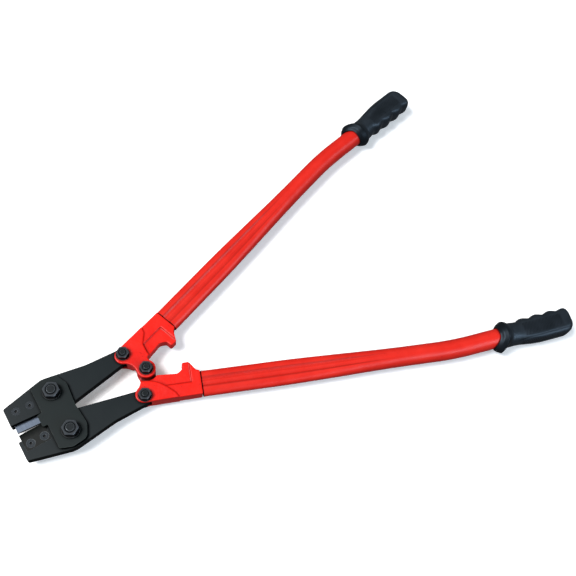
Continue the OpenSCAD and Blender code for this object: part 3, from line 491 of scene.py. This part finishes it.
class Nodes:
    """A small builder for one material's nodes."""

    def __init__(self, name):
        self.material = bpy.data.materials.new(name)
        self.material.use_nodes = True
        self.tree = self.material.node_tree
        self.shader = self.tree.nodes["Principled BSDF"]
        self.coordinates = self.add("ShaderNodeTexCoord").outputs["Object"]

    def add(self, kind, **values):
        """A node with its properties set."""
        node = self.tree.nodes.new(kind)
        for key, value in values.items():
            setattr(node, key, value)
        return node

    def link(self, source, target):
        """Join one node's output to another's input."""
        self.tree.links.new(source, target)

    def noise(self, scale, detail=4.0, roughness=0.55, stretch=(1, 1, 1)):
        """Noise on the object's own coordinates, in metres, stretched along an axis."""
        mapping = self.add("ShaderNodeMapping")
        mapping.inputs["Scale"].default_value = stretch
        self.link(self.coordinates, mapping.inputs["Vector"])
        node = self.add("ShaderNodeTexNoise")
        node.inputs["Scale"].default_value = scale
        node.inputs["Detail"].default_value = detail
        node.inputs["Roughness"].default_value = roughness
        self.link(mapping.outputs["Vector"], node.inputs["Vector"])
        return node.outputs["Fac"]

    def ramp(self, source, stops):
        """A colour ramp of (place, colour) stops."""
        node = self.add("ShaderNodeValToRGB")
        elements = node.color_ramp.elements
        while len(elements) < len(stops):
            elements.new(0.5)
        for element, (place, colour) in zip(elements, stops):
            element.position = place
            element.color = (*colour, 1)
        self.link(source, node.inputs["Fac"])
        return node.outputs["Color"]

    def span(self, source, low, high, to_low, to_high):
        """A value moved from one range to another and held inside it."""
        node = self.add("ShaderNodeMapRange")
        node.inputs["From Min"].default_value = low
        node.inputs["From Max"].default_value = high
        node.inputs["To Min"].default_value = to_low
        node.inputs["To Max"].default_value = to_high
        self.link(source, node.inputs["Value"])
        return node.outputs["Result"]

    def mix(self, factor, a, b):
        """Two colours mixed by a factor; each of the three is a value or a socket."""
        node = self.add("ShaderNodeMix", data_type="RGBA")
        sockets = (node.inputs[0], node.inputs[6], node.inputs[7])
        for socket, value in zip(sockets, (factor, a, b)):
            if isinstance(value, bpy.types.NodeSocket):
                self.link(value, socket)
            elif isinstance(value, tuple):
                socket.default_value = (*value, 1)
            else:
                socket.default_value = value
        return node.outputs[2]

    def edges(self, low=0.52, high=0.6):
        """How far a point is on a convex edge, broken up by noise: 0 on flats, 1 on edges that get painted light
        or shade.
        """
        point = self.add("ShaderNodeNewGeometry").outputs["Pointiness"]
        worn = self.span(point, low, high, 0, 1)
        broken = self.span(self.noise(260, 6), 0.35, 0.65, 0.2, 1)
        return self.times(worn, broken)

    def corners(self, distance, low=0.35, high=0.95):
        """How open a point is: 0 deep in a corner between pieces, 1 in the open."""
        node = self.add("ShaderNodeAmbientOcclusion", samples=8)
        node.inputs["Distance"].default_value = distance
        return self.span(node.outputs["AO"], low, high, 0, 1)

    def upright(self, least=0.0):
        """1 on faces that look up or down, falling to the least value on side walls."""
        normal = self.add("ShaderNodeNewGeometry").outputs["Normal"]
        parts = self.add("ShaderNodeSeparateXYZ")
        self.link(normal, parts.inputs[0])
        size = self.add("ShaderNodeMath", operation="ABSOLUTE")
        self.link(parts.outputs["Z"], size.inputs[0])
        return self.span(size.outputs[0], 0.2, 0.6, least, 1)

    def times(self, a, b):
        """The product of two numbers."""
        node = self.add("ShaderNodeMath", operation="MULTIPLY")
        self.link(a, node.inputs[0])
        self.link(b, node.inputs[1])
        return node.outputs[0]

    def attribute(self, name):
        """A number kept on the mesh."""
        return self.add("ShaderNodeAttribute", attribute_name=name).outputs["Fac"]

    def hollows(self, low=0.4, high=0.49):
        """How deep a point is in a concave corner of its own piece."""
        point = self.add("ShaderNodeNewGeometry").outputs["Pointiness"]
        return self.span(point, low, high, 1, 0)

    def bump(self, heights):
        """Bumps of (height socket, strength, depth) laid over each other."""
        normal = None
        for height, strength, depth in heights:
            node = self.add("ShaderNodeBump")
            node.inputs["Strength"].default_value = strength
            node.inputs["Distance"].default_value = depth
            self.link(height, node.inputs["Height"])
            if normal is not None:
                self.link(normal, node.inputs["Normal"])
            normal = node.outputs["Normal"]
        self.link(normal, self.shader.inputs["Normal"])

    def set(self, **values):
        """Constants straight on the shader's sockets, with underscores for spaces."""
        for key, value in values.items():
            self.shader.inputs[key.replace("_", " ")].default_value = value


def red_paint(name, deep, bright, grain, grain_depth, dark, crease_and_mouth_shade=None):
    """Thick glossy red paint: fine orange peel, slight mottling, specks, and painted shade on convex edges, in
    corners between pieces, in a casting's hollows and in a tube's creases and mouth.
    """
    n = Nodes(name)
    mottle = n.noise(26, 5)
    base = n.ramp(mottle, [(0.3, deep), (0.7, bright)])
    speck = n.span(n.noise(310, 2, 0.4), 0.7, 0.76, 0, 0.6)
    base = n.mix(speck, base, dark)
    # Convex edges take the speck colour: painted shade on the edges.
    base = n.mix(n.edges(0.53, 0.64), base, dark)
    # Corners between pieces are darkened: painted shade.
    base = n.mix(n.corners(0.007, 0.55, 0.96), (0.16, 0.003, 0.002), base)
    if crease_and_mouth_shade:
        # The stored numbers darken the tube's creases and turned-in mouth, with less shine there: painted shade.
        base = n.mix(n.attribute(crease_and_mouth_shade), (0.01, 0.002, 0.002), base)
    else:
        # Hollows of the casting are darkened: painted shade.
        base = n.mix(n.hollows(0.43, 0.496), base, (0.07, 0.0015, 0.0015))
    n.link(base, n.shader.inputs["Base Color"])
    n.link(n.span(n.noise(60, 4), 0.3, 0.7, 0.3, 0.42), n.shader.inputs["Roughness"])
    if crease_and_mouth_shade:
        n.link(n.span(n.attribute(crease_and_mouth_shade), 0, 0.7, 0, 0.28), n.shader.inputs["Specular IOR Level"])
    else:
        n.set(Specular_IOR_Level=0.25)
    n.bump([(n.noise(grain, 3), 0.4, grain_depth), (n.noise(70, 4), 0.35, 0.0012)])
    return n.material


def black_coat(name, dark, light, brush, worn=0.0):
    """Satin black coating over machined steel: faint machining lines, and painted shade in the corners and on side
    walls.
    """
    n = Nodes(name)
    mottle = n.noise(16, 5, 0.6)
    lines = n.noise(420, 3, 0.5, brush)
    base = n.ramp(mottle, [(0.2, dark), (0.8, light)])
    base = n.mix(n.span(lines, 0.35, 0.75, 0, 0.3), base, light)
    if worn:
        rubbed = n.span(n.noise(240, 5), 0.35, 0.6, 0.3 * worn, worn)
        base = n.mix(rubbed, base, (0.14, 0.15, 0.14))
    # Corners and side walls are painted near black, with less shine: painted shade.
    unshaded_face = n.times(n.corners(0.005), n.upright())
    base = n.mix(unshaded_face, (0.001, 0.0012, 0.0012), base)
    n.link(base, n.shader.inputs["Base Color"])
    n.link(n.span(mottle, 0.3, 0.7, 0.36, 0.42), n.shader.inputs["Roughness"])
    n.link(n.span(unshaded_face, 0, 1, 0.02, 0.16), n.shader.inputs["Specular IOR Level"])
    n.bump([(lines, 0.1, 0.0002), (n.noise(900, 2), 0.1, 0.0001)])
    return n.material


def steel(name, dark, light, roughness, brush, metallic, worn=None, wear=0.0):
    """Bare or oiled steel with fine lines from grinding along one direction."""
    n = Nodes(name)
    lines = n.noise(500, 4, 0.6, brush)
    stain = n.noise(55, 5)
    base = n.ramp(lines, [(0.3, dark), (0.7, light)])
    base = n.mix(n.span(stain, 0.45, 0.75, 0, 0.5), base, dark)
    # On nuts, the stored rings are lightened: partly wear, partly painted highlight on the chamfers and the
    # countersink's edge.
    if worn == "rings":
        base = n.mix(n.attribute("wear"), base, (0.075, 0.083, 0.095))
    elif worn == "bevel":
        base = n.mix(wear, base, (0.3, 0.33, 0.36))
    # Corners and side walls are darkened: painted shade.
    base = n.mix(n.times(n.corners(0.004), n.upright(0.35)), (0.002, 0.002, 0.0025), base)
    n.link(base, n.shader.inputs["Base Color"])
    n.link(n.span(stain, 0.3, 0.7, roughness, roughness + 0.12), n.shader.inputs["Roughness"])
    n.set(Metallic=metallic, Specular_IOR_Level=0.2)
    n.bump([(lines, 0.2, 0.0002)])
    return n.material


def grip_rubber():
    """Black vinyl with a fine moulded grain, painted shade in its grooves and at its mouth, a painted bluish
    highlight on its edges and a bluish tint on its reflections.
    """
    n = Nodes("black vinyl")
    mottle = n.noise(45, 5)
    base = n.ramp(mottle, [(0.3, (0.009, 0.012, 0.015)), (0.7, (0.015, 0.019, 0.024))])
    # The stored numbers darken the grooves, the lining and the collar, with less shine there: painted shade.
    base = n.mix(n.attribute("relief"), (0.0008, 0.001, 0.0012), base)
    # Convex edges are lightened to bluish grey: painted highlight.
    colour = n.mix(n.edges(0.53, 0.66), base, (0.02, 0.03, 0.048))
    n.link(colour, n.shader.inputs["Base Color"])
    n.link(n.span(mottle, 0.3, 0.7, 0.34, 0.46), n.shader.inputs["Roughness"])
    n.set(Specular_Tint=(0.62, 0.8, 1.0, 1.0))
    n.link(n.span(n.attribute("relief"), 0, 1, 0.02, 0.36), n.shader.inputs["Specular IOR Level"])
    n.bump([(n.noise(1400, 2), 0.3, 0.00025), (n.noise(120, 3), 0.2, 0.0006)])
    return n.material


# Paints: deep and bright colour, the grain's scale and depth, and the colour of specks and of the painted shade on
# edges.
CAST_RED = ((0.58, 0.006, 0.003), (0.74, 0.012, 0.005), 420, 0.0007, (0.22, 0.004, 0.003))
TUBE_RED = ((0.56, 0.013, 0.007), (0.66, 0.021, 0.012), 700, 0.0002, (0.4, 0.007, 0.005))
# Coats: dark and light colour, and how the machining lines are stretched.
JAW_BLACK = ((0.0055, 0.009, 0.0105), (0.0075, 0.0115, 0.0130), (1, 0.15, 1))
PLATE_BLACK = ((0.0045, 0.0085, 0.0088), (0.0062, 0.0105, 0.0108), (0.15, 1, 1))
# Steels: dark and light colour, roughness, how the lines are stretched, and how metallic.
GROUND = ((0.078, 0.096, 0.128), (0.104, 0.127, 0.164), 0.34, (1, 0.06, 1), 0.8)
OILED = ((0.002, 0.0028, 0.0028), (0.0055, 0.0068, 0.0055), 0.42, (1, 0.06, 1), 0.2)
SCREW = ((0.01, 0.013, 0.016), (0.02, 0.025, 0.03), 0.36, (1, 1, 1), 0.3)
NUT = ((0.006, 0.0085, 0.0095), (0.012, 0.015, 0.0175), 0.34, (1, 1, 1), 0.35)
# Washers are near black so that they read as the shade round the nuts: painted shade.
WASHER_AS_SHADE = ((0.0015, 0.0018, 0.002), (0.003, 0.0035, 0.004), 0.45, (1, 1, 1), 0.4)

MATERIALS = {
    "red_cast": red_paint("red casting paint", *CAST_RED),
    "red_tube": red_paint("red tube paint", *TUBE_RED, "relief"),
    "black_jaw": black_coat("black jaw coat", *JAW_BLACK),
    "black_plate": black_coat("black plate coat", *PLATE_BLACK),
    "ground_steel": steel("ground blade steel", *GROUND),
    "black_blade": steel("oiled blade steel", *OILED),
    "screw_steel": steel("black screw steel", *SCREW),
    "fastener_steel": steel("black nut steel", *NUT, "rings"),
    "washer_steel": steel("washer steel", *WASHER_AS_SHADE),
    "grip_rubber": grip_rubber(),
}
# The same finishes where a rounded edge has worn, the last number being how far.
EDGES = {
    "black_jaw": black_coat("worn jaw edge", *JAW_BLACK, 0.32),
    "black_plate": black_coat("worn plate edge", *PLATE_BLACK, 0.3),
    "ground_steel": steel("worn ground edge", *GROUND, "bevel", 0.8),
    "black_blade": steel("worn blade edge", *OILED, "bevel", 0.3),
    "screw_steel": steel("worn screw edge", *SCREW, "bevel", 0.5),
    "fastener_steel": steel("worn bolt edge", *NUT, "bevel", 0.4),
    "washer_steel": steel("worn washer edge", *WASHER_AS_SHADE, "bevel", 0.2),
}


def finish_piece(piece, body, slot, *nodes):
    """Paint a new piece, let it ride on its body and stand for its nodes."""
    piece.data.materials.clear()
    piece.data.materials.append(MATERIALS[slot])
    if piece.modifiers:
        piece.data.materials.append(EDGES[slot])
    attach(piece, body)
    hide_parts(*nodes)


# --- The pieces ---

BODIES = frame["record"]["behaviour"]["bodies"]
BODY_OF = {node: body for body, nodes in BODIES.items() for node in nodes}
SLOT_OF = {part["node"]: part["material_slot"] for part in frame["record"]["subparts"]}
CAST_VOXEL, CAST_PASSES = 0.7 * MM, 8

for side, mirrored in (("a", False), ("b", True)):
    body = f"handle_{side}_body"
    tube = handle_tube(f"painted_tube_{side}", mirrored)
    finish_piece(tube, body, "red_tube", f"handle_tube_{side}")
    grip = hand_grip(f"moulded_grip_{side}", mirrored)
    finish_piece(grip, body, "grip_rubber", f"grip_{side}")
    head = cast(f"cast_head_{side}", f"handle_head_{side}", CAST_VOXEL, CAST_PASSES)
    finish_piece(head, body, "red_cast", f"handle_head_{side}")

# Each copied node and how wide its edges are rounded, in mm.
for node, width in (
    ("fixture_plate_upper", 0.8), ("fixture_plate_lower", 0.8), ("jaw_a", 0.7), ("jaw_b", 0.7),
    ("blade_lower", 0.25), ("blade_upper", 0.25), ("blade_screws_a", 0.2), ("blade_screws_b", 0.2),
    ("jaw_washers", 0.3), ("jaw_bolts", 0.3), ("centre_washers", 0.25), ("centre_bolt", 0.25),
    ("handle_washers_a", 0.25), ("handle_washers_b", 0.25),
    ("handle_bolt_a", 0.25), ("handle_bolt_b", 0.25),
):
    finish_piece(bevelled(f"{node}_finish", node, width * MM), BODY_OF[node], SLOT_OF[node], node)


def nut_from_node(node, flats, bore_r):
    """A detailed nut, or the pair of jaw nuts, where a node's are."""
    low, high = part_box(node)
    if node == "jaw_nuts":
        places = [Vector((JAW_BOLT.x, sign * JAW_BOLT.y, 0)) for sign in (1, -1)]
    else:
        places = [(low + high) / 2]
    piece = nut_piece(f"{node}_finish", places, low.z, high.z, flats, bore_r)
    finish_piece(piece, BODY_OF[node], SLOT_OF[node], node)


# Each nut's width across flats and its bore's radius, in mm.
for node, flats, bore_r in (
    ("jaw_nuts", 22, 7.05), ("centre_nut", 17, 5.05),
    ("handle_nut_a", 17, 5.05), ("handle_nut_b", 17, 5.05),
):
    nut_from_node(node, flats * MM, bore_r * MM)

for node, shown in frame["nodes"].items():
    if not shown.hide_render:
        shown.data.materials.clear()
        shown.data.materials.append(MATERIALS[SLOT_OF[node]])


# --- Camera, floor and lights ---

CAMERA_RIGHT = Vector((0.8483342, -0.5130247, 0.1309000))
CAMERA_UP = Vector((0.4203592, 0.8029328, 0.4226075))
CAMERA_FROM_CENTRE = Vector((-0.16944, -0.39226, 1.2141))
FLOOR_HALF = 6
FLOOR_GAP = 0.0002  # the floor lies this far below the tool
WORLD_LIGHT, WORLD_SEEN = 0.14, 1.1  # the backdrop's strength as light, and as the camera sees it


def add_camera():
    """The camera looks down on the tool from over the jaws' side."""
    lens = bpy.data.cameras.new("camera")
    lens.sensor_width = 36
    lens.lens = 51.67
    lens.clip_end = 20
    camera = bpy.data.objects.new("camera", lens)
    bpy.context.scene.collection.objects.link(camera)
    back = CAMERA_RIGHT.cross(CAMERA_UP)
    turn = Matrix((CAMERA_RIGHT, CAMERA_UP, back)).transposed().to_4x4()
    place = Vector((CENTRE.x, CENTRE.y, MID_Z)) + CAMERA_FROM_CENTRE
    camera.matrix_world = Matrix.Translation(place) @ turn
    bpy.context.scene.camera = camera


def add_floor():
    """A pale floor that the tool lies on."""
    corners = np.array([[-1, -1, 0], [1, -1, 0], [1, 1, 0], [-1, 1, 0]]) * float(FLOOR_HALF)
    corners = corners - np.array([0, 0, FLOOR_GAP])
    floor = make_piece("floor", corners, [[0, 1, 2, 3]], smooth=False)
    n = Nodes("pale floor")
    n.set(Base_Color=(0.94, 0.94, 0.94, 1), Roughness=0.9, Specular_IOR_Level=0.1)
    n.set(Emission_Color=(1, 1, 1, 1), Emission_Strength=0.25)
    floor.visible_diffuse = False
    floor.visible_glossy = False
    floor.data.materials.append(n.material)


def add_light(name, place, target, size, power, colour=(1, 1, 1)):
    """A soft square light aimed at a point."""
    lamp = bpy.data.lights.new(name, "AREA")
    lamp.shape = "RECTANGLE"
    lamp.size, lamp.size_y = size
    lamp.energy = power
    lamp.color = colour
    light = bpy.data.objects.new(name, lamp)
    bpy.context.scene.collection.objects.link(light)
    light.location = place
    light.rotation_mode = "QUATERNION"
    light.rotation_quaternion = (Vector(target) - Vector(place)).to_track_quat("-Z", "Y")


def add_world():
    """A pale backdrop that the camera sees brighter than it lights the tool."""
    world = bpy.data.worlds.new("studio")
    bpy.context.scene.world = world
    world.use_nodes = True
    tree = world.node_tree
    background = tree.nodes["Background"]
    background.inputs["Color"].default_value = (0.9, 0.95, 1.0, 1)
    seen = tree.nodes.new("ShaderNodeLightPath").outputs["Is Camera Ray"]
    strength = tree.nodes.new("ShaderNodeMapRange")
    strength.inputs["To Min"].default_value = WORLD_LIGHT
    strength.inputs["To Max"].default_value = WORLD_SEEN
    tree.links.new(seen, strength.inputs["Value"])
    tree.links.new(strength.outputs["Result"], background.inputs["Strength"])


add_camera()
add_floor()
add_world()
add_light("key", (-2.6, 1.2, 4.6), (0, 0, 0), (2.2, 2.2), 400)
add_light("top", (1.7, 2.0, 4.4), (0, 0, 0), (3.0, 3.0), 8)
add_light("front", (1.8, -3.4, 2.75), (0, 0, 0), (4.4, 1.5), 150, (0.74, 0.87, 1.0))
bpy.context.scene.view_settings.view_transform = "Standard"
